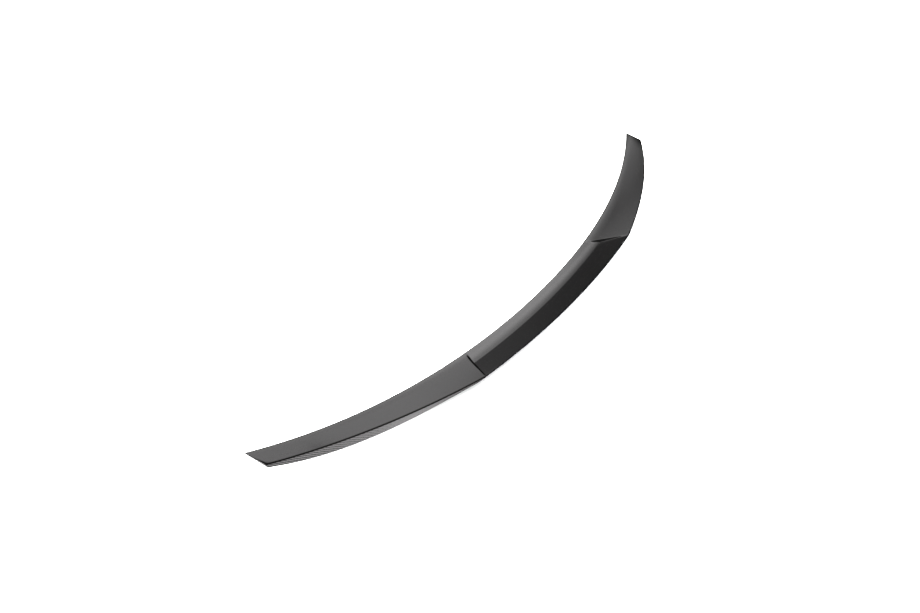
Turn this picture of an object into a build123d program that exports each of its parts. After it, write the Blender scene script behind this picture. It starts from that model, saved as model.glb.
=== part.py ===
"""Boot lid lip spoiler: one hollow carbon fibre moulding, open underneath.

Millimetres. +X runs across the car, +Y towards its front and +Z up. The base is
on z = 0, and the origin is in the middle of the width and of the depth.

The moulding is drawn as upright sections that fan out along the bowed plan. Each
section starts at the leading edge and is drawn in (run, z), where run is measured
backwards to the crest. Sections are lofted over five spans: a scooped centre, a
step at each end of it, and two wings that taper to the tips.
"""
import os
from dataclasses import dataclass
from math import hypot, radians, tan

from build123d import *

# Overall size
width = 1200.0  # across the two front tips
depth = 241.0  # front tips to the rearmost point of the crest
crest_height = 47.7  # crest above the base, over the centre and at both steps

# Plan of the two long edges
centre_chord = 83.5  # leading edge to crest on the centre line
leading_tip_bend = 0.187  # share of the leading edge bow that is kept for the tips
centre_bow = 17.4  # how far the crest bows back over the centre section
wing_bow = 17.3  # how far the crest bows back between a step and the tip
tip_chord = 48.9  # depth of the cut end
tip_inset = 10.8  # crest end inboard of the front tip

# Steps between the centre and the wings, from the centre line to their outer side
step_at_crest = 237.0
step_at_leading = 206.0
step_width_at_crest = 13.0
step_width_at_leading = 20.0

# Top face: two slopes that meet in a rounded valley
leading_thickness = 2.0  # upright face of the leading edge
scoop_valley_share = 0.31  # valley of the centre section, as a share of the chord
scoop_valley_height = 5.5
wing_valley_share = 0.18  # valley of a wing, as a share of the chord
wing_valley_height = 5.8  # at the step
tip_valley_height = 3.0
valley_front_reach = 0.6  # rounded length ahead of the valley, as a share of the front slope
valley_back_reach = 0.25  # the same behind it, as a share of the back slope

# Wings
tip_height = 9.4  # crest above the base at the cut end
wing_fall_power = 1.87  # how late along the wing the crest and the valley fall

# Crest and rear face
crest_edge = 3.5  # upright edge under the crest
crest_round = 3.0  # length of top face taken up by the rounded crest
rear_lean_centre = 24.2  # degrees, the rear face runs forward under the crest
rear_lean_tip = -19.4  # degrees, the rear face runs backward at the tip
rear_lean_power = 1.55  # how late along the wing the lean turns over

# Hollow
wall = 2.0  # thickness of the top and rear skins
leading_land_share = 0.13  # solid bonding land behind the leading edge, as a share of the chord
rear_flange = 12.0  # inward bonding flange along the foot of the rear face
flange_thickness = 2.5
tip_solid_share = 0.045  # share of the wing left solid at the tip

# Drawing
base_trim = 4.0  # sections are drawn this far below the base and trimmed flat
crest_pull = 0.7  # how far the rounded crest pulls towards its corner
centre_shares = (-1.0, -0.5, 0.0, 0.5, 1.0)  # sections from one end of the centre to the other
wing_shares = (0.0, 0.2, 0.4, 0.6, 0.8, 1.0)  # sections from the step to the tip

half_width = width / 2
front_y = depth / 2
leading_sag = depth - centre_chord
scoop_at_crest = step_at_crest - step_width_at_crest
scoop_at_leading = step_at_leading - step_width_at_leading


@dataclass
class Section:
    """One upright section: its plane, the sizes it was given and the corners of its outline."""

    plane: Plane
    chord: float
    height: float
    valley: tuple
    lean: float

    def __post_init__(self):
        self.lead = (0, leading_thickness)
        self.crest = (self.chord, self.height)
        self.edge = (self.chord, self.height - crest_edge)

    def rear(self, z):
        """Point of the rear face at height z."""
        return self.chord - (self.edge[1] - z) * tan(radians(self.lean)), z


def between(start, end, share):
    """Value a share of the way from start to end."""
    return start + (end - start) * share


def toward(start, end, length):
    """Point at a length from start on the way to end."""
    share = length / hypot(end[0] - start[0], end[1] - start[1])
    return between(start[0], end[0], share), between(start[1], end[1], share)


def inset(start, end, distance):
    """The line from start to end, moved to its right."""
    length = hypot(end[0] - start[0], end[1] - start[1])
    move = ((end[1] - start[1]) / length * distance, (start[0] - end[0]) / length * distance)
    return (start[0] + move[0], start[1] + move[1]), (end[0] + move[0], end[1] + move[1])


def meet(first, second):
    """Point where two lines cross."""
    a = (first[1][0] - first[0][0], first[1][1] - first[0][1])
    b = (second[1][0] - second[0][0], second[1][1] - second[0][1])
    gap = (second[0][0] - first[0][0], second[0][1] - first[0][1])
    share = (gap[0] * b[1] - gap[1] * b[0]) / (a[0] * b[1] - a[1] * b[0])
    return first[0][0] + a[0] * share, first[0][1] + a[1] * share


def leading_y(x):
    """The leading edge bows forward to both tips: a parabola that bends more near the ends."""
    square = (x / half_width) ** 2
    bow = (1 - leading_tip_bend) * square + leading_tip_bend * square**2
    return front_y - leading_sag * (1 - bow)


def centre_crest(x):
    """Plan point of the crest over the centre section, which bows back as a parabola."""
    return x, -front_y + centre_bow * (x / step_at_crest) ** 2


def wing_crest(share):
    """Plan point of a wing's crest: a straight line from step to tip, bowed backwards."""
    start = centre_crest(step_at_crest)
    end = (half_width - tip_inset, front_y - tip_chord)
    along = (end[0] - start[0], end[1] - start[1])
    bow = 4 * wing_bow * share * (1 - share) / hypot(*along)
    return start[0] + along[0] * share + along[1] * bow, start[1] + along[1] * share - along[0] * bow


def section(leading_x, crest, height, valley_share, valley_height, lean):
    """Place a section through a point of the leading edge and a point of the crest."""
    lead = (leading_x, leading_y(leading_x))
    along = (crest[0] - lead[0], crest[1] - lead[1])
    chord = hypot(*along)
    plane = Plane(origin=(*lead, 0), x_dir=(*along, 0), z_dir=(along[1], -along[0], 0))
    return Section(plane, chord, height, (chord * valley_share, valley_height), lean)


def scoop_section(share):
    """Section of the scooped centre, a share of the way from the centre line to a step."""
    crest = centre_crest(scoop_at_crest * share)
    lead_x = scoop_at_leading * share
    return section(lead_x, crest, crest_height, scoop_valley_share, scoop_valley_height, rear_lean_centre)


def wing_section(share):
    """Section of the right wing, a share of the way from the step to the tip."""
    lead_x = between(step_at_leading, half_width, share)
    fall = share**wing_fall_power
    height = between(crest_height, tip_height, fall)
    valley_height = between(wing_valley_height, tip_valley_height, fall)
    lean = between(rear_lean_centre, rear_lean_tip, share**rear_lean_power)
    return section(lead_x, wing_crest(share), height, wing_valley_share, valley_height, lean)


def closed_wire(plane, pieces):
    """Closed wire on a section plane, from lines and Bezier curves given by their points."""
    edges = []
    for points in pieces:
        placed = [plane.from_local_coords((*point, 0)) for point in points]
        edges.append(Edge.make_line(*placed) if len(placed) == 2 else Edge.make_bezier(*placed))
    return Wire(edges)


def sloped_top(start, valley, end):
    """Two straight slopes with a rounded valley between them."""
    front = hypot(valley[0] - start[0], valley[1] - start[1])
    back = hypot(end[0] - valley[0], end[1] - valley[1])
    into = toward(valley, start, valley_front_reach * front)
    out = toward(valley, end, valley_back_reach * back)
    return [(start, into), (into, valley, out), (out, end)]


def outer_wire(s):
    """Outline of the moulding as if it were solid, drawn on below the base."""
    lead_foot = (0, -base_trim)
    rear_foot = s.rear(-base_trim)
    round_start = toward(s.crest, s.valley, crest_round)
    top_pull = toward(round_start, s.crest, crest_round * crest_pull)
    edge_pull = toward(s.edge, s.crest, crest_edge * crest_pull)
    pieces = [
        (lead_foot, s.lead),
        *sloped_top(s.lead, s.valley, round_start),
        (round_start, top_pull, edge_pull, s.edge),
        (s.edge, rear_foot),
        (rear_foot, lead_foot),
    ]
    return closed_wire(s.plane, pieces)


def hollow_wire(s):
    """Outline of the hollow, one wall inside the skins and open downwards past the base."""
    front_skin = inset(s.lead, s.valley, wall)
    top_skin = inset(s.valley, s.crest, wall)
    rear_skin = inset(s.edge, s.rear(0), wall)
    land = s.chord * leading_land_share
    flange = s.rear(0)[0] - rear_flange
    land_foot = (land, -2 * base_trim)
    flange_foot = (flange, -2 * base_trim)
    flange_top = (flange, flange_thickness)
    flange_line = (flange_top, (s.chord, flange_thickness))
    land_top = meet(front_skin, (land_foot, (land, s.height)))
    valley = meet(front_skin, top_skin)
    ridge = meet(top_skin, rear_skin)
    flange_root = meet(rear_skin, flange_line)
    pieces = [
        (land_foot, land_top),
        *sloped_top(land_top, valley, ridge),
        (ridge, flange_root),
        (flange_root, flange_top),
        (flange_top, flange_foot),
        (flange_foot, land_foot),
    ]
    return closed_wire(s.plane, pieces)


def spans(wire, wing_length):
    """Loft the centre, both steps and both wings from one kind of outline, and join them."""
    centre = Solid.make_loft([wire(scoop_section(share)) for share in centre_shares])
    step = Solid.make_loft([wire(scoop_section(1)), wire(wing_section(0))], ruled=True)
    wing = Solid.make_loft([wire(wing_section(share * wing_length)) for share in wing_shares])
    return centre.fuse(step, wing, step.mirror(Plane.YZ), wing.mirror(Plane.YZ))


solid_form = spans(outer_wire, 1)
hollow = spans(hollow_wire, 1 - tip_solid_share)
below_base = Pos(0, 0, -depth / 2) * Box(2 * width, 2 * depth, depth)
spoiler = solid_form - hollow - below_base

os.makedirs("parts", exist_ok=True)
export_step(spoiler, "parts/spoiler.step")
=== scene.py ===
"""Boot lid lip spoiler in clear-coated twill carbon fibre, on a pale floor.

Metres, in the frame of the solid: +X across the car, +Y towards its front, +Z up.
The moulding is one closed skin. An outline drawn in (run, z), with run measured
backwards from the leading edge, is carried along stations that fan out over the
bowed plan: a scooped centre, a step at each end of it, and two tapering wings.
"""

import bpy
import numpy as np
from mathutils import Matrix


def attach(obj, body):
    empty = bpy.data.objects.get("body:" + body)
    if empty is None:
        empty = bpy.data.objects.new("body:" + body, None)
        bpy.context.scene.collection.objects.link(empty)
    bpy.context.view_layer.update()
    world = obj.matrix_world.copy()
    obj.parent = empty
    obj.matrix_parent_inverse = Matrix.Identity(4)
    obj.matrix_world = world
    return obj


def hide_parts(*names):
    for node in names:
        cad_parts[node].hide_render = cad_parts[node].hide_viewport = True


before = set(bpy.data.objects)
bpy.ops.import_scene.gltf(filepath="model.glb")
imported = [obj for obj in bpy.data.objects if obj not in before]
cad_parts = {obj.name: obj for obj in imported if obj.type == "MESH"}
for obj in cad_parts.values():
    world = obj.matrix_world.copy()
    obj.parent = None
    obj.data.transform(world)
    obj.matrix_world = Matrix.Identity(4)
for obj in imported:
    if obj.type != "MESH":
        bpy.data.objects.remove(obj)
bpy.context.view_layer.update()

# Plan of the two long edges
WIDTH = 1.2
DEPTH = 0.241
HALF_WIDTH = WIDTH / 2
FRONT_Y = DEPTH / 2
CENTRE_CHORD = 0.0835
LEADING_SAG = DEPTH - CENTRE_CHORD
LEADING_TIP_BEND = 0.187
CENTRE_BOW = 0.0174
WING_BOW = 0.0173
TIP_CHORD = 0.0489
TIP_INSET = 0.0108

# Steps between the centre and the wings, from the centre line to their outer side
STEP_AT_CREST = 0.237
STEP_AT_LEADING = 0.2005
STEP_WIDTH_AT_CREST = 0.013
STEP_WIDTH_AT_LEADING = 0.013
SCOOP_AT_CREST = STEP_AT_CREST - STEP_WIDTH_AT_CREST
SCOOP_AT_LEADING = STEP_AT_LEADING - STEP_WIDTH_AT_LEADING

# Steep wall of a step, placed along the crest by shares of the step's width
WALL_SHARES = (0.72, 0.88)
WALL_FROM = SCOOP_AT_CREST + WALL_SHARES[0] * STEP_WIDTH_AT_CREST
WALL_TO = SCOOP_AT_CREST + WALL_SHARES[1] * STEP_WIDTH_AT_CREST
WALL_MIDDLE = (WALL_FROM + WALL_TO) / 2

# Outline
CREST_HEIGHT = 0.0477
TIP_HEIGHT = 0.0094
WING_FALL_POWER = 1.87
LEADING_THICKNESS = 0.002
LEADING_ROUND = 0.0012
SCOOP_VALLEY_SHARE = 0.31
SCOOP_VALLEY_HEIGHT = 0.0055
WING_VALLEY_SHARE = 0.18
WING_VALLEY_HEIGHT = 0.0058
TIP_VALLEY_HEIGHT = 0.003
VALLEY_FRONT_REACH = 0.6
VALLEY_BACK_REACH = 0.14
CREST_EDGE = 0.0035
CREST_ROUND = 0.003
CREST_PULL = 0.7
REAR_LEAN_CENTRE = 24.2
REAR_LEAN_TIP = -19.4
REAR_LEAN_POWER = 1.55

# Hollow underneath
WALL = 0.002
LEADING_LAND_SHARE = 0.13
REAR_FLANGE = 0.012
FLANGE_THICKNESS = 0.0025
TIP_SOLID_SHARE = 0.045
HOLLOW_END = 0.0015  # length over which the hollow closes at the tip

# Softened corners of the skin
STEP_CRISP = 0.0006  # half width of the rounding of a step's creases at the crest
STEP_SOFT = 0.0015  # the same at the leading edge
STEP_SAMPLES = 25  # stations averaged for that rounding
SOFT_FROM = 0.3  # where the creases start to soften, from the crest, as a share of the chord
SOFT_OVER = 0.45  # length over which they soften, as a share of the chord
TIP_ROUND = 0.0009
TIP_TURN = np.linspace(0, np.pi / 2, 6)  # angles of the stations round the edge of a cut end

# Spacing of the stations along the crest
STATION = 0.004
STEP_STATION = 0.0004
STEP_ZONE = 0.026  # how far the close stations reach to each side of a step's middle


def between(start, end, share):
    """Value a share of the way from start to end."""
    return start + (end - start) * share


def toward(start, end, length):
    """Points at a length from start on the way to end."""
    along = end - start
    return start + along * (length / np.linalg.norm(along, axis=-1))[..., None]


def inset(start, end, distance):
    """Two points of the line from start to end, moved to its right."""
    along = end - start
    right = np.stack([along[:, 1], -along[:, 0]], axis=-1)
    move = right * (distance / np.linalg.norm(along, axis=-1))[:, None]
    return start + move, end + move


def meet(first, second):
    """Points where two lines cross: along the first by the ratio of two cross products."""
    a = first[1] - first[0]
    b = second[1] - second[0]
    gap = second[0] - first[0]
    cross = a[:, 0] * b[:, 1] - a[:, 1] * b[:, 0]
    share = (gap[:, 0] * b[:, 1] - gap[:, 1] * b[:, 0]) / cross
    return first[0] + a * share[:, None]


def leading_edge(x):
    """Plan of the leading edge: y falls from the tips by a parabola with a share of fourth power.

    The share of the fourth power makes it bend more near the tips.
    """
    square = (x / HALF_WIDTH) ** 2
    bow = (1 - LEADING_TIP_BEND) * square + LEADING_TIP_BEND * square**2
    return np.stack([x, FRONT_Y - LEADING_SAG * (1 - bow)], axis=-1)


def centre_crest(x):
    """Plan of the crest over the centre: a parabola that bows back."""
    return np.stack([x, -FRONT_Y + CENTRE_BOW * (x / STEP_AT_CREST) ** 2], axis=-1)


WING_START = centre_crest(np.array(STEP_AT_CREST))
WING_END = np.array([HALF_WIDTH - TIP_INSET, FRONT_Y - TIP_CHORD])
WING_ALONG = WING_END - WING_START
WING_LENGTH = float(np.linalg.norm(WING_ALONG))


def wing_crest(share):
    """Plan of a wing's crest: a straight line from step to tip, bowed back by a parabola."""
    side = np.array([WING_ALONG[1], -WING_ALONG[0]]) / WING_LENGTH
    bow = 4 * WING_BOW * share * (1 - share)
    return WING_START + WING_ALONG * share[:, None] + side * bow[:, None]


def curve(controls, count):
    """Bezier curve from its control points, by repeated interpolation, without its last point."""
    share = (np.arange(count) / count)[None, :, None]
    points = [control[:, None, :] for control in controls]
    while len(points) > 1:
        points = [between(a, b, share) for a, b in zip(points, points[1:])]
    return points[0]


def sloped_top(start, valley, end, counts):
    """Two straight slopes that meet in a valley rounded by a quadratic curve."""
    front = np.linalg.norm(valley - start, axis=-1)
    back = np.linalg.norm(end - valley, axis=-1)
    into = toward(valley, start, VALLEY_FRONT_REACH * front)
    out = toward(valley, end, VALLEY_BACK_REACH * back)
    return [
        curve([start, into], counts[0]),
        curve([into, valley, out], counts[1]),
        curve([out, end], counts[2]),
    ]


OUTER_COUNTS = {"lead": 2, "lead_round": 5, "top": (10, 16, 24), "crest": 12, "rear": 14}
INNER_COUNTS = {
    "base": 3,
    "foot": 2,
    "flange": 4,
    "wall": 8,
    "roof": (14, 8, 4),
    "land": 3,
    "rim": 3,
}


def outline(chord, height, valley_share, valley_height, lean, hollow):
    """Closed outline of each station in (run, z).

    Up the leading edge, over two slopes, round the crest, down the leaning rear face, then
    back along the flange, the inside of the wall and the leading land. Where hollow is 0
    the inside lies flat on the base.
    """
    zero = np.zeros_like(chord)
    point = lambda run, z: np.stack([run + zero, z + zero], axis=-1)
    slope = np.tan(np.radians(lean))
    lead = point(0.0, LEADING_THICKNESS)
    valley = point(chord * valley_share, valley_height)
    crest = point(chord, height)
    edge = point(chord, height - CREST_EDGE)
    rear_run = chord - (height - CREST_EDGE) * slope
    rear_foot = point(rear_run, 0.0)
    lead_foot = point(0.0, 0.0)

    lead_low = point(0.0, LEADING_THICKNESS - LEADING_ROUND)
    lead_high = toward(lead, valley, LEADING_ROUND + zero)
    round_start = toward(crest, valley, CREST_ROUND + zero)
    top_pull = toward(round_start, crest, CREST_ROUND * CREST_PULL + zero)
    edge_pull = toward(edge, crest, CREST_EDGE * CREST_PULL + zero)
    outer = [
        curve([lead_foot, lead_low], OUTER_COUNTS["lead"]),
        curve([lead_low, lead, lead_high], OUTER_COUNTS["lead_round"]),
        *sloped_top(lead_high, valley, round_start, OUTER_COUNTS["top"]),
        curve([round_start, top_pull, edge_pull, edge], OUTER_COUNTS["crest"]),
        curve([edge, rear_foot], OUTER_COUNTS["rear"]),
    ]

    land = chord * LEADING_LAND_SHARE
    flange = rear_run - REAR_FLANGE
    front_skin = inset(lead, valley, WALL)
    top_skin = inset(valley, crest, WALL)
    rear_skin = inset(edge, rear_foot, WALL)
    flange_top = point(flange, FLANGE_THICKNESS)
    flange_foot = point(flange, 0.0)
    land_foot = point(land, 0.0)
    land_top = meet(front_skin, (land_foot, point(land, height)))
    roof_valley = meet(front_skin, top_skin)
    ridge = meet(top_skin, rear_skin)
    flange_root = meet(rear_skin, (flange_top, point(chord, FLANGE_THICKNESS)))
    roof = sloped_top(land_top, roof_valley, ridge, INNER_COUNTS["roof"][::-1])
    roof = np.concatenate([*roof, ridge[:, None]], axis=1)[:, :0:-1]
    inner = np.concatenate(
        [
            curve([flange_foot, flange_top], INNER_COUNTS["foot"]),
            curve([flange_top, flange_root], INNER_COUNTS["flange"]),
            curve([flange_root, ridge], INNER_COUNTS["wall"]),
            roof,
            curve([land_top, land_foot], INNER_COUNTS["land"]),
        ],
        axis=1,
    )
    flat = curve([flange_foot, land_foot], inner.shape[1])
    inner = between(flat, inner, hollow[:, None, None])
    base = [
        curve([rear_foot, flange_foot], INNER_COUNTS["base"]),
        inner,
        curve([land_foot, lead_foot], INNER_COUNTS["rim"]),
    ]
    return np.concatenate([*outer, *base], axis=1)


# Places of the crest and the corners in the outline
TOP_COUNT = OUTER_COUNTS["lead"] + OUTER_COUNTS["lead_round"] + sum(OUTER_COUNTS["top"])
CREST_INDEX = TOP_COUNT + OUTER_COUNTS["crest"] // 2
REAR_FOOT = TOP_COUNT + OUTER_COUNTS["crest"] + OUTER_COUNTS["rear"]
FLANGE_FOOT = REAR_FOOT + INNER_COUNTS["base"]
FLANGE_TOP = FLANGE_FOOT + INNER_COUNTS["foot"]
FLANGE_ROOT = FLANGE_TOP + INNER_COUNTS["flange"]
RIDGE = FLANGE_ROOT + INNER_COUNTS["wall"]
LAND_TOP = RIDGE + sum(INNER_COUNTS["roof"])
LAND_FOOT = LAND_TOP + INNER_COUNTS["land"]
CORNERS = [0, REAR_FOOT, FLANGE_FOOT, FLANGE_TOP, FLANGE_ROOT, RIDGE, LAND_TOP, LAND_FOOT]


def placed(lead_x, crest, height, valley_share, valley_height, lean, hollow):
    """Outlines set upright in the plan, each from its leading point towards its crest point."""
    lead = leading_edge(lead_x)
    along = crest - lead
    chord = np.linalg.norm(along, axis=-1)
    flat = outline(chord, height, valley_share, valley_height, lean, hollow)
    plan = lead[:, None] + (along / chord[:, None])[:, None] * flat[..., :1]
    return np.concatenate([plan, flat[..., 1:]], axis=-1)


def right_half(crest_run):
    """Stations of the right half by their length along the crest from the middle.

    Scoop sections up to the step, wing sections after it, and between the two the straight
    mix of the last scoop section and the first wing section.
    """
    scoop = np.clip(crest_run, -WALL_FROM, WALL_FROM) / SCOOP_AT_CREST
    wing = np.minimum((np.maximum(crest_run, WALL_TO) - STEP_AT_CREST) / WING_LENGTH, 1)
    fall = np.maximum(wing, 0)
    mix = np.clip((crest_run - WALL_FROM) / (WALL_TO - WALL_FROM), 0, 1)
    same = np.ones_like(crest_run)
    hollow_share = 1 - TIP_SOLID_SHARE
    hollow = np.clip((hollow_share - wing) * WING_LENGTH / HOLLOW_END + 1, 0, 1)
    scoop_part = placed(
        SCOOP_AT_LEADING * scoop,
        centre_crest(SCOOP_AT_CREST * scoop),
        CREST_HEIGHT * same,
        SCOOP_VALLEY_SHARE,
        SCOOP_VALLEY_HEIGHT,
        REAR_LEAN_CENTRE,
        same,
    )
    wing_part = placed(
        between(STEP_AT_LEADING, HALF_WIDTH, wing),
        wing_crest(wing),
        between(CREST_HEIGHT, TIP_HEIGHT, fall**WING_FALL_POWER),
        WING_VALLEY_SHARE,
        between(WING_VALLEY_HEIGHT, TIP_VALLEY_HEIGHT, fall**WING_FALL_POWER),
        between(REAR_LEAN_CENTRE, REAR_LEAN_TIP, fall**REAR_LEAN_POWER),
        hollow,
    )
    return between(scoop_part, wing_part, mix[:, None, None])


def averaged(crest_run, half_width):
    """Mean of the stations over a width, which rounds a step's creases and fades out beside it."""
    fade = np.clip((STEP_ZONE - np.abs(crest_run - WALL_MIDDLE)) / (STEP_ZONE / 2), 0, 1)
    reach = half_width * fade
    offsets = np.linspace(-1, 1, STEP_SAMPLES)
    return sum(right_half(crest_run + offset * reach) for offset in offsets) / STEP_SAMPLES


def station_runs():
    """Lengths along the crest from the middle to the right tip, closer at the step and the tip."""
    end = STEP_AT_CREST + WING_LENGTH
    hollow_end = STEP_AT_CREST + WING_LENGTH * (1 - TIP_SOLID_SHARE)
    near, far = WALL_MIDDLE - STEP_ZONE, WALL_MIDDLE + STEP_ZONE
    centre = np.linspace(0, near, round(near / STATION), endpoint=False)
    step = np.linspace(near, far, round((far - near) / STEP_STATION), endpoint=False)
    wing = np.arange(far, end - TIP_ROUND - STATION / 3, STATION)
    wing = wing[np.abs(wing - hollow_end) > HOLLOW_END * 2]
    wing = np.sort(np.concatenate([wing, [hollow_end, hollow_end + HOLLOW_END]]))
    tip = end - TIP_ROUND * (1 - np.sin(TIP_TURN))
    return np.concatenate([centre, step, wing, tip])


def rounded_end(ends):
    """Last stations, drawn in along a quarter circle to round the edge of the cut end."""
    forward = np.roll(ends, -1, axis=1) - np.roll(ends, 1, axis=1)
    across = ends[:, CREST_INDEX] - ends[:, 0]
    across = across / np.linalg.norm(across, axis=-1, keepdims=True)
    rise = forward[..., 2]
    level = np.einsum("sjk,sk->sj", forward, across)
    length = np.maximum(np.hypot(rise, level), 1e-9)
    shrink = TIP_ROUND * (1 - np.cos(TIP_TURN))[:, None]
    ends = ends + across[:, None] * (shrink * rise / length)[..., None]
    ends[..., 2] -= shrink * level / length
    return ends


def moulding_grid():
    """The skin as a grid: stations from the left tip to the right by points round the outline.

    The creases of a step are crisp at the crest and soften towards the leading edge. The left
    half mirrors the right one.
    """
    run = station_runs()
    crisp = averaged(run, STEP_CRISP)
    soft = averaged(run, STEP_SOFT)
    down = np.linalg.norm(crisp - crisp[:, CREST_INDEX : CREST_INDEX + 1], axis=-1)
    share = np.clip((down / CENTRE_CHORD - SOFT_FROM) / SOFT_OVER, 0, 1)
    share[:, CREST_INDEX:] = 0
    share[:, : OUTER_COUNTS["lead"]] = 1
    half = between(crisp, soft, (share * share * (3 - 2 * share))[..., None])
    half[-len(TIP_TURN) :] = rounded_end(half[-len(TIP_TURN) :])
    mirrored = half[:0:-1] * np.array([-1, 1, 1])
    return np.concatenate([mirrored, half])


def mark_corners(mesh, stations, points):
    """Shade smooth, but keep the outline's corners and the rims of the cut ends sharp."""
    ends = np.empty(len(mesh.edges) * 2, dtype=np.int64)
    mesh.edges.foreach_get("vertices", ends)
    station, place = np.divmod(ends.reshape(-1, 2), points)
    corner = (place[:, 0] == place[:, 1]) & np.isin(place[:, 0], CORNERS)
    tip = (station[:, 0] == station[:, 1]) & np.isin(station[:, 0], [0, stations - 1])
    mesh.shade_smooth()
    sharp = mesh.attributes.new("sharp_edge", "BOOLEAN", "EDGE")
    sharp.data.foreach_set("value", corner | tip)


def lay_cloth(mesh, grid):
    """Cloth coordinates in metres: along the crest from the middle, and round from the crest.

    The faces across the cut ends take their own y and z.
    """
    stations, points = grid.shape[:2]
    closed = np.concatenate([grid, grid[:, :1]], axis=1)
    gaps = np.linalg.norm(np.diff(closed, axis=1), axis=-1)
    around = np.concatenate([np.zeros((stations, 1)), np.cumsum(gaps, axis=1)], axis=1)
    around = around - around[:, CREST_INDEX : CREST_INDEX + 1]
    crest = np.linalg.norm(np.diff(grid[:, CREST_INDEX], axis=0), axis=-1)
    across = np.concatenate([[0], np.cumsum(crest)])
    across = across - across[stations // 2]
    across = np.repeat(across[:, None], points + 1, axis=1)
    cloth = np.stack([across, around], axis=-1)
    corners = [cloth[:-1, :-1], cloth[1:, :-1], cloth[1:, 1:], cloth[:-1, 1:]]
    quads = np.stack(corners, axis=2).reshape(-1, 2)
    caps = grid[[0, -1]][:, :, [1, 2]]
    places = np.concatenate([quads, caps[0], caps[1, ::-1]])
    layer = mesh.uv_layers.new(name="cloth")
    layer.uv.foreach_set("vector", places.astype(np.float32).ravel())


def moulding():
    """The whole moulding as one mesh: quads between stations, and a face across each cut end.

    Faces past the foot of the rear face are the hidden side and take the second material.
    """
    grid = moulding_grid()
    stations, points = grid.shape[:2]
    index = np.arange(stations * points).reshape(stations, points)
    beside = np.roll(index, -1, axis=1)
    quads = np.stack([index[:-1], index[1:], beside[1:], beside[:-1]], axis=-1).reshape(-1, 4)
    caps = [index[0].tolist(), index[-1, ::-1].tolist()]
    mesh = bpy.data.meshes.new("spoiler_skin")
    mesh.from_pydata(grid.reshape(-1, 3), [], quads.tolist() + caps)
    mark_corners(mesh, stations, points)
    lay_cloth(mesh, grid)
    hidden = np.tile(np.arange(points) >= REAR_FOOT, stations - 1)
    finish = np.concatenate([hidden, [False, False]]).astype(np.int32)
    mesh.polygons.foreach_set("material_index", finish)
    mesh.update()
    skin = bpy.data.objects.new("spoiler_skin", mesh)
    bpy.context.scene.collection.objects.link(skin)
    return skin


def put(tree, kind, **settings):
    """New node in a tree with its settings."""
    node = tree.nodes.new(kind)
    for name, value in settings.items():
        setattr(node, name, value)
    return node


def feed(tree, socket, value):
    """Link a socket to another, or give it a plain value."""
    if isinstance(value, bpy.types.NodeSocket):
        tree.links.new(value, socket)
    else:
        socket.default_value = value


def sums(tree, operation, *values):
    """Result of a math node."""
    node = put(tree, "ShaderNodeMath", operation=operation)
    for socket, value in zip(node.inputs, values):
        feed(tree, socket, value)
    return node.outputs[0]


def spread(tree, value, low, high, to_low, to_high):
    """A value moved smoothly from one range to another."""
    node = put(tree, "ShaderNodeMapRange", interpolation_type="SMOOTHSTEP")
    for socket, given in zip(node.inputs, (value, low, high, to_low, to_high)):
        feed(tree, socket, given)
    return node.outputs[0]


def choose(tree, kind, share, first, second):
    """Mix of two values or colours by a share."""
    node = put(tree, "ShaderNodeMix", data_type=kind)
    sockets = [s for s in node.inputs if s.enabled]
    for socket, given in zip(sockets, (share, first, second)):
        feed(tree, socket, given)
    return next(s for s in node.outputs if s.enabled)


TOW_WIDTH = 0.002
STREAKS_ACROSS = 9.0  # fineness of the fibre streaks across a tow
STREAKS_ALONG = 0.6  # the same along it
STREAKS_APART = 40.0  # keeps the streaks of the two directions apart


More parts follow.
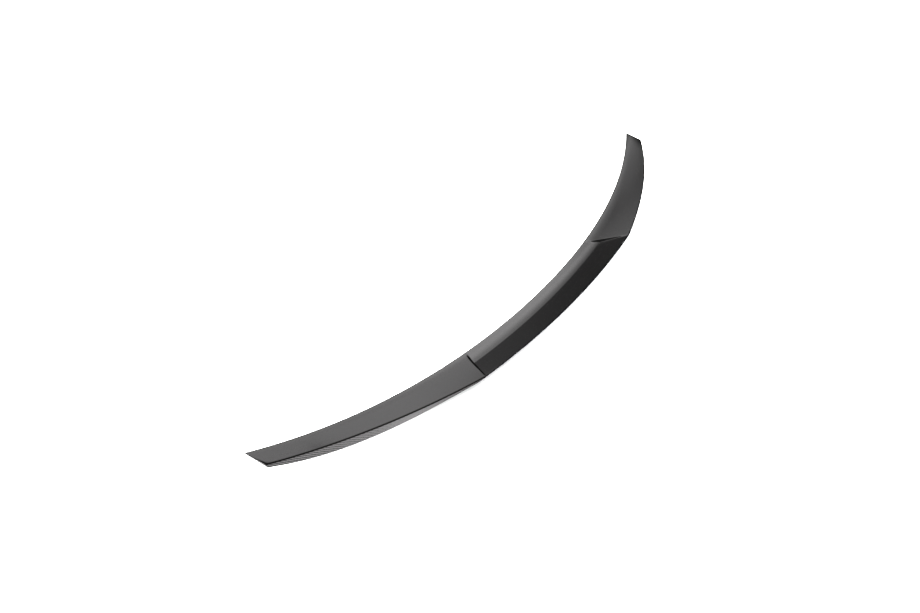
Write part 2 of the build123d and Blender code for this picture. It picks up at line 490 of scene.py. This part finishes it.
def twill_weave():
    """Two over, two under twill, worked out from the cloth's own coordinates in metres.

    Tows are counted both ways, and the sum of the counts over four tells which tow is on top:
    the one that runs across the car in two places out of four, and the other in the next two.
    Crown is the tow's rounded back, highest in the middle of its float. Fibre is a streak noise
    stretched along the tow on top, and Strand a shade of its own for each tow.
    """
    tree = bpy.data.node_groups.new("twill_weave", "ShaderNodeTree")
    tree.interface.new_socket("Cloth", in_out="INPUT", socket_type="NodeSocketVector")
    tow = tree.interface.new_socket("Tow width", in_out="INPUT", socket_type="NodeSocketFloat")
    tow.default_value = TOW_WIDTH
    for name in ("Across", "Crown", "Fibre", "Strand"):
        tree.interface.new_socket(name, in_out="OUTPUT", socket_type="NodeSocketFloat")
    given = put(tree, "NodeGroupInput").outputs
    result = put(tree, "NodeGroupOutput").inputs
    apart = put(tree, "ShaderNodeSeparateXYZ")
    feed(tree, apart.inputs[0], given["Cloth"])
    u = sums(tree, "DIVIDE", apart.outputs["X"], given["Tow width"])
    v = sums(tree, "DIVIDE", apart.outputs["Y"], given["Tow width"])
    u_tow = sums(tree, "FLOOR", u)
    v_tow = sums(tree, "FLOOR", v)
    u_part = sums(tree, "SUBTRACT", u, u_tow)
    v_part = sums(tree, "SUBTRACT", v, v_tow)
    phase = sums(tree, "FLOORED_MODULO", sums(tree, "SUBTRACT", u_tow, v_tow), 4.0)
    across = sums(tree, "GREATER_THAN", phase, 1.5)
    side = choose(tree, "FLOAT", across, u_part, v_part)
    floated = choose(tree, "FLOAT", across, v_part, u_part)
    floated = sums(tree, "ADD", sums(tree, "MODULO", phase, 2.0), floated)
    floated = sums(tree, "DIVIDE", floated, 2.0)
    back = sums(tree, "SINE", sums(tree, "MULTIPLY", side, np.pi))
    lift = sums(tree, "SINE", sums(tree, "MULTIPLY", floated, np.pi))
    back = sums(tree, "SQRT", sums(tree, "MAXIMUM", back, 0.0))
    crown = sums(tree, "MULTIPLY", back, sums(tree, "MULTIPLY_ADD", lift, 0.5, 0.5))
    own = choose(tree, "FLOAT", across, u_tow, v_tow)
    shade = put(tree, "ShaderNodeTexWhiteNoise", noise_dimensions="2D")
    key = put(tree, "ShaderNodeCombineXYZ")
    feed(tree, key.inputs["X"], own)
    feed(tree, key.inputs["Y"], across)
    feed(tree, shade.inputs["Vector"], key.outputs[0])
    streak = put(tree, "ShaderNodeTexNoise", noise_dimensions="3D")
    place = put(tree, "ShaderNodeCombineXYZ")
    over = choose(tree, "FLOAT", across, u, v)
    along = choose(tree, "FLOAT", across, v, u)
    feed(tree, place.inputs["X"], sums(tree, "MULTIPLY", over, STREAKS_ACROSS))
    feed(tree, place.inputs["Y"], sums(tree, "MULTIPLY", along, STREAKS_ALONG))
    feed(tree, place.inputs["Z"], sums(tree, "MULTIPLY", across, STREAKS_APART))
    feed(tree, streak.inputs["Vector"], place.outputs[0])
    streak.inputs["Scale"].default_value = 1.0
    streak.inputs["Detail"].default_value = 2.0
    feed(tree, result["Across"], across)
    feed(tree, result["Crown"], crown)
    feed(tree, result["Fibre"], streak.outputs[0])
    feed(tree, result["Strand"], shade.outputs["Value"])
    return tree


# Where the looks of the crest's nose and the rear face set in, in metres of cloth from the crest.
# The rear face's look is a thinner coat and colours painted much lighter: painted light and sheen.
NOSE_FADE = (0.001, 0.003)
REAR_FADE = (0.001, 0.004)

# Colour of the tows: factor and start of the fibre streaks and of the strand noise, and the
# painted shade left in the gaps between them, where the tows' rounded backs fall away
FIBRE_SHADE = (0.9, 0.55)
STRAND_SHADE = (0.3, 0.85)
GAP_PAINTED_SHADE = 0.55


def grey(level):
    """Plain grey as a colour."""
    return (level, level, level, 1.0)


def carbon(name, weave, tones_and_painted_sheen, rear_tones_and_painted_light, bump, shine, coat):
    """Carbon laminate: tows in two colours by direction, streaked by fibres, rounded by a bump.

    The difference between the two colours is painted sheen of the tows, and the darkening in the
    gaps between them is painted shade. The rear face, behind the crest, has colours of its own,
    which the coated side gets much lighter as painted light and sheen. Bump is a strength and a
    distance, and shine the roughness from one end of the fibre noise to the other. Coat is the
    clear coat's weight on the top, the share of it on the crest's nose and the weight on the rear.
    """
    material = bpy.data.materials.new(name)
    material.use_nodes = True
    tree = material.node_tree
    surface = tree.nodes["Principled BSDF"]
    cloth = put(tree, "ShaderNodeUVMap", uv_map="cloth")
    woven = put(tree, "ShaderNodeGroup", node_tree=weave)
    feed(tree, woven.inputs["Cloth"], cloth.outputs[0])
    apart = put(tree, "ShaderNodeSeparateXYZ")
    feed(tree, apart.inputs[0], cloth.outputs[0])
    behind = spread(tree, apart.outputs["Y"], *REAR_FADE, 0.0, 1.0)
    # Two colours by tow direction: the carbon's own dark colour, with painted sheen in the
    # difference between them.
    top_tone_and_painted_sheen = choose(tree, "RGBA", woven.outputs["Across"], *tones_and_painted_sheen)
    rear_tone_and_painted_light = choose(tree, "RGBA", woven.outputs["Across"], *rear_tones_and_painted_light)
    # Behind the crest, the rear face's colours, painted much lighter on the coated side as painted
    # light and sheen.
    tone_and_painted_light = choose(tree, "RGBA", behind, top_tone_and_painted_sheen, rear_tone_and_painted_light)
    fibre = sums(tree, "MULTIPLY_ADD", woven.outputs["Fibre"], *FIBRE_SHADE)
    strand = sums(tree, "MULTIPLY_ADD", woven.outputs["Strand"], *STRAND_SHADE)
    # Darker where the tows' rounded backs fall away into the gaps: painted shade.
    gap = spread(tree, woven.outputs["Crown"], 0.0, 0.5, GAP_PAINTED_SHADE, 1.0)
    streak = sums(tree, "MULTIPLY", sums(tree, "MULTIPLY", fibre, strand), gap)
    shade = put(tree, "ShaderNodeCombineXYZ")
    for socket in shade.inputs:
        feed(tree, socket, streak)
    colour = put(tree, "ShaderNodeMix", data_type="RGBA", blend_type="MULTIPLY")
    sockets = [s for s in colour.inputs if s.enabled]
    for socket, given in zip(sockets, (1.0, tone_and_painted_light, shade.outputs[0])):
        feed(tree, socket, given)
    feed(tree, surface.inputs["Base Color"], next(s for s in colour.outputs if s.enabled))
    rough = spread(tree, woven.outputs["Fibre"], 0.25, 0.75, *shine)
    feed(tree, surface.inputs["Roughness"], rough)
    relief = put(tree, "ShaderNodeBump")
    relief.inputs["Strength"].default_value = bump[0]
    relief.inputs["Distance"].default_value = bump[1]
    feed(tree, relief.inputs["Height"], woven.outputs["Crown"])
    feed(tree, surface.inputs["Normal"], relief.outputs[0])
    top_coat, nose_share, rear_coat = coat
    from_crest = sums(tree, "ABSOLUTE", apart.outputs["Y"])
    nose = spread(tree, from_crest, *NOSE_FADE, nose_share, 1.0)
    weight = spread(tree, behind, 0.0, 1.0, top_coat, rear_coat)
    feed(tree, surface.inputs["Coat Weight"], sums(tree, "MULTIPLY", nose, weight))
    return material, surface


def coated_carbon(weave):
    """Show side: the laminate under a thick clear coat, which stays smooth over the weave."""
    material, surface = carbon(
        "coated_carbon",
        weave,
        # The carbon's own near-black colour; the difference between the two tow directions is
        # painted sheen.
        tones_and_painted_sheen=(grey(0.003), (0.0055, 0.0054, 0.0054, 1.0)),
        # Rear face painted far lighter than the top: painted light and sheen of its tows.
        rear_tones_and_painted_light=(grey(0.06), grey(0.25)),
        bump=(0.6, 0.0003),
        shine=(0.34, 0.46),
        coat=(1.0, 0.15, 0.5),
    )
    surface.inputs["Metallic"].default_value = 1.0
    surface.inputs["Specular Tint"].default_value = grey(0.3)
    surface.inputs["Coat Roughness"].default_value = 0.03
    surface.inputs["Coat IOR"].default_value = 1.5
    return material


def bare_carbon(weave):
    """Hidden side: the laminate as it leaves the bag, matt resin over the same cloth."""
    # The bare laminate's own dark colour; the difference between the two tow directions is painted
    # sheen.
    tones_and_painted_sheen = ((0.022, 0.022, 0.023, 1.0), (0.034, 0.034, 0.036, 1.0))
    material, surface = carbon(
        "bare_carbon",
        weave,
        tones_and_painted_sheen=tones_and_painted_sheen,
        rear_tones_and_painted_light=tones_and_painted_sheen,
        bump=(0.8, 0.0004),
        shine=(0.5, 0.66),
        coat=(0.0, 0.0, 0.0),
    )
    surface.inputs["Metallic"].default_value = 0.0
    return material


FLOOR_HALF = 6.0
FLOOR_LEVEL = -0.0004  # just under the part


def pale_floor():
    """Plain floor under the part, with a faint mottle. It can be looked through from below."""
    material = bpy.data.materials.new("pale_floor")
    material.use_nodes = True
    tree = material.node_tree
    surface = tree.nodes["Principled BSDF"]
    place = put(tree, "ShaderNodeTexCoord")
    mottle = put(tree, "ShaderNodeTexNoise")
    mottle.inputs["Scale"].default_value = 3.0
    feed(tree, mottle.inputs["Vector"], place.outputs["Object"])
    shade = choose(tree, "RGBA", mottle.outputs[0], grey(0.86), grey(0.89))
    feed(tree, surface.inputs["Base Color"], shade)
    surface.inputs["Roughness"].default_value = 0.9
    under = put(tree, "ShaderNodeMixShader")
    feed(tree, under.inputs[0], put(tree, "ShaderNodeNewGeometry").outputs["Backfacing"])
    feed(tree, under.inputs[1], surface.outputs[0])
    feed(tree, under.inputs[2], put(tree, "ShaderNodeBsdfTransparent").outputs[0])
    feed(tree, tree.nodes["Material Output"].inputs["Surface"], under.outputs[0])
    mesh = bpy.data.meshes.new("floor")
    signs = [(-1, -1), (1, -1), (1, 1), (-1, 1)]
    corners = [(x * FLOOR_HALF, y * FLOOR_HALF, FLOOR_LEVEL) for x, y in signs]
    mesh.from_pydata(corners, [], [(0, 1, 2, 3)])
    mesh.materials.append(material)
    floor = bpy.data.objects.new("floor", mesh)
    floor.visible_glossy = False
    bpy.context.scene.collection.objects.link(floor)
    return floor


TENT_RADIUS = 4.0

# Round lights of the tent: azimuth from +Y towards +X, elevation, width, all in degrees, strength
KEY = (47.0, 44.0, 11.1, 4.37)
HALO = (42.0, 24.0, 11.0, 0.62)
BACK = (150.0, 58.0, 28.0, 1.2)
SIDE = (-120.0, 50.0, 28.0, 1.0)
KEY_END = 59.0  # azimuth at which key and halo are cut off to the right
KEY_FADE = 3.0  # degrees

# Fill of the tent, left of the key: azimuths in degrees, heights as the sine of the elevation
FILL_END = 34.5  # where it fades out to the right
FILL_FADE = 3.5
FILL_START = 16.5  # where it sets in on the left, on the level
FILL_START_LEAN = -46.0  # how far that moves with the height
FILL_START_MOST = 9.0  # how far right it may lie
FILL_START_FADE = 1.5
FILL_EDGE_AZIMUTH = 20.0
FILL_EDGE = -0.192  # height of its lower edge at that azimuth
FILL_SLANT = 0.0192  # rise of the edge for each degree to the right
FILL_EDGE_FADE = 0.014
FILL_HEIGHT = 0.1
FILL_LIGHT = 1.46  # light at that height
FILL_RISE = 1.82  # gain of light with the height
FILL_LOW = 0.34  # light that is left under the edge

# Ground of the tent, and the light that is left everywhere
GROUND_FADE = (0.05, -0.85)  # heights between which it sets in
GROUND_LIGHT = 1.5
GROUND_AWAY = (0.74, 0.67)  # x and y of the direction in which it ends
GROUND_END = (-0.1, 0.5)  # shares of that direction between which it ends
REST_LIGHT = 0.02
TENT_COLOUR = (1.0, 0.982, 0.988, 1.0)


def glow(tree, value, middle, width, height):
    """A value's smooth rise round a middle, by the logistic curve."""
    power = sums(tree, "DIVIDE", sums(tree, "SUBTRACT", middle, value), width)
    return sums(tree, "DIVIDE", height, sums(tree, "ADD", 1.0, sums(tree, "EXPONENT", power)))


def bell(tree, direction, azimuth, elevation, width, height):
    """A round light that fades by a bell curve with the angle from its middle, all in degrees."""
    turn = np.radians(azimuth)
    lift = np.radians(elevation)
    middle = (np.sin(turn) * np.cos(lift), np.cos(turn) * np.cos(lift), np.sin(lift))
    towards = put(tree, "ShaderNodeVectorMath", operation="DOT_PRODUCT")
    feed(tree, towards.inputs[0], direction)
    feed(tree, towards.inputs[1], middle)
    away = sums(tree, "DEGREES", sums(tree, "ARCCOSINE", towards.outputs["Value"]))
    away = sums(tree, "DIVIDE", away, width)
    square = sums(tree, "MULTIPLY", away, away)
    fade = sums(tree, "EXPONENT", sums(tree, "MULTIPLY", square, -0.5))
    return sums(tree, "MULTIPLY", fade, height)


def tent_skin():
    """Light of the tent by the direction from the part.

    Ahead on the right a round key with a halo under it, both cut off further right. To their
    left a fill that brightens upwards from a slanting edge. On the near side a pale ground,
    and two wide round lights, at the back and at the side, for the views from there.
    """
    material = bpy.data.materials.new("tent_skin")
    material.use_nodes = True
    tree = material.node_tree
    tree.nodes.clear()
    place = put(tree, "ShaderNodeTexCoord").outputs["Object"]
    unit = put(tree, "ShaderNodeVectorMath", operation="NORMALIZE")
    feed(tree, unit.inputs[0], place)
    apart = put(tree, "ShaderNodeSeparateXYZ")
    feed(tree, apart.inputs[0], unit.outputs[0])
    x, y, z = apart.outputs
    azimuth = sums(tree, "DEGREES", sums(tree, "ARCTAN2", x, y))

    key, halo, back, side = (bell(tree, unit.outputs[0], *at) for at in (KEY, HALO, BACK, SIDE))
    cut = glow(tree, azimuth, KEY_END, -KEY_FADE, 1.0)
    ahead = sums(tree, "MULTIPLY", sums(tree, "ADD", key, halo), cut)
    lights = sums(tree, "ADD", ahead, sums(tree, "ADD", back, side))

    left = glow(tree, azimuth, FILL_END, -FILL_FADE, 1.0)
    start = sums(tree, "MULTIPLY_ADD", z, FILL_START_LEAN, FILL_START)
    start = sums(tree, "MINIMUM", start, FILL_START_MOST)
    right = glow(tree, azimuth, start, FILL_START_FADE, 1.0)
    edge = sums(tree, "SUBTRACT", azimuth, FILL_EDGE_AZIMUTH)
    edge = sums(tree, "MULTIPLY_ADD", edge, FILL_SLANT, FILL_EDGE)
    above = glow(tree, sums(tree, "SUBTRACT", z, edge), 0.0, FILL_EDGE_FADE, 1.0)
    rising = sums(tree, "SUBTRACT", z, FILL_HEIGHT)
    rising = sums(tree, "MULTIPLY_ADD", rising, FILL_RISE, FILL_LIGHT)
    fill = sums(tree, "MULTIPLY_ADD", above, sums(tree, "MAXIMUM", rising, 0.0), FILL_LOW)
    fill = sums(tree, "MULTIPLY", fill, sums(tree, "MULTIPLY", left, right))

    beyond = sums(tree, "MULTIPLY", y, GROUND_AWAY[1])
    beyond = sums(tree, "MULTIPLY_ADD", x, GROUND_AWAY[0], beyond)
    ground = spread(tree, z, *GROUND_FADE, 0.0, GROUND_LIGHT)
    ground = sums(tree, "MULTIPLY", ground, spread(tree, beyond, *GROUND_END, 1.0, 0.0))
    low = sums(tree, "ADD", ground, REST_LIGHT)

    lamp = put(tree, "ShaderNodeEmission")
    lamp.inputs["Color"].default_value = TENT_COLOUR
    feed(tree, lamp.inputs["Strength"], sums(tree, "ADD", sums(tree, "ADD", lights, fill), low))
    out = put(tree, "ShaderNodeOutputMaterial")
    feed(tree, out.inputs["Surface"], lamp.outputs[0])
    return material


def light_tent():
    """Ball of cloth round the part: a grid of latitudes and longitudes on a sphere.

    Only gloss sees it.
    """
    rings, sides = 48, 96
    lat = np.linspace(-np.pi / 2, np.pi / 2, rings + 1)[1:-1, None]
    lon = np.linspace(0, 2 * np.pi, sides, endpoint=False)[None]
    level = np.cos(lat)
    ball = np.stack([level * np.cos(lon), level * np.sin(lon), np.sin(lat) + 0 * lon], axis=-1)
    points = np.concatenate([ball.reshape(-1, 3), [[0, 0, -1], [0, 0, 1]]]) * TENT_RADIUS
    index = np.arange((rings - 1) * sides).reshape(rings - 1, sides)
    beside = np.roll(index, -1, axis=1)
    quads = np.stack([index[:-1], index[1:], beside[1:], beside[:-1]], axis=-1).reshape(-1, 4)
    foot = np.stack([index[0], beside[0], np.full(sides, len(points) - 2)][::-1], axis=-1)
    head = np.stack([index[-1], beside[-1], np.full(sides, len(points) - 1)], axis=-1)
    mesh = bpy.data.meshes.new("light_tent")
    mesh.from_pydata(points, [], quads.tolist() + foot.tolist() + head.tolist())
    mesh.materials.append(tent_skin())
    tent = bpy.data.objects.new("light_tent", mesh)
    tent.visible_camera = False
    tent.visible_diffuse = False
    tent.visible_shadow = False
    bpy.context.scene.collection.objects.link(tent)
    return tent


def studio_light():
    """A pale room for the floor, and a wide lamp overhead that gloss doesn't mirror."""
    world = bpy.data.worlds.new("studio")
    world.use_nodes = True
    world.node_tree.nodes["Background"].inputs["Color"].default_value = (1.0, 1.0, 1.0, 1.0)
    world.node_tree.nodes["Background"].inputs["Strength"].default_value = 0.9
    bpy.context.scene.world = world
    lamp = bpy.data.lights.new("overhead", "AREA")
    lamp.shape = "RECTANGLE"
    lamp.size = 3.0
    lamp.size_y = 3.0
    lamp.energy = 400.0
    overhead = bpy.data.objects.new("overhead", lamp)
    overhead.matrix_world = Matrix.Translation((0.0, 0.0, 2.4))
    overhead.visible_glossy = False
    bpy.context.scene.collection.objects.link(overhead)


CAMERA_TURN = 0.7309  # radians from +X towards +Y, the way it looks
CAMERA_DOWN = 0.9059  # radians below the level
CAMERA_PLACE = (-0.6708, -0.43345, 0.94136)
SENSOR_WIDTH = 36.0  # millimetres, as the lens
LENS = 23.154


def photo_camera():
    """Camera at the photograph's viewpoint: behind and left of the part, looking down at it."""
    level = np.array([np.cos(CAMERA_TURN), np.sin(CAMERA_TURN), 0.0])
    right = (level[1], -level[0], 0.0)
    up = level * np.sin(CAMERA_DOWN) + (0.0, 0.0, np.cos(CAMERA_DOWN))
    back = -level * np.cos(CAMERA_DOWN) + (0.0, 0.0, np.sin(CAMERA_DOWN))
    lens = bpy.data.cameras.new("photo_camera")
    lens.sensor_fit = "HORIZONTAL"
    lens.sensor_width = SENSOR_WIDTH
    lens.lens = LENS
    lens.clip_start = 0.01
    camera = bpy.data.objects.new("photo_camera", lens)
    columns = np.array([right, up, back, CAMERA_PLACE]).T
    camera.matrix_world = Matrix([*columns.tolist(), [0.0, 0.0, 0.0, 1.0]])
    bpy.context.scene.collection.objects.link(camera)
    bpy.context.scene.camera = camera


weave = twill_weave()
skin = moulding()
skin.data.materials.append(coated_carbon(weave))
skin.data.materials.append(bare_carbon(weave))
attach(skin, "root")
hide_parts("spoiler")

pale_floor()
light_tent()
studio_light()
photo_camera()
bpy.context.scene.view_settings.view_transform = "Standard"
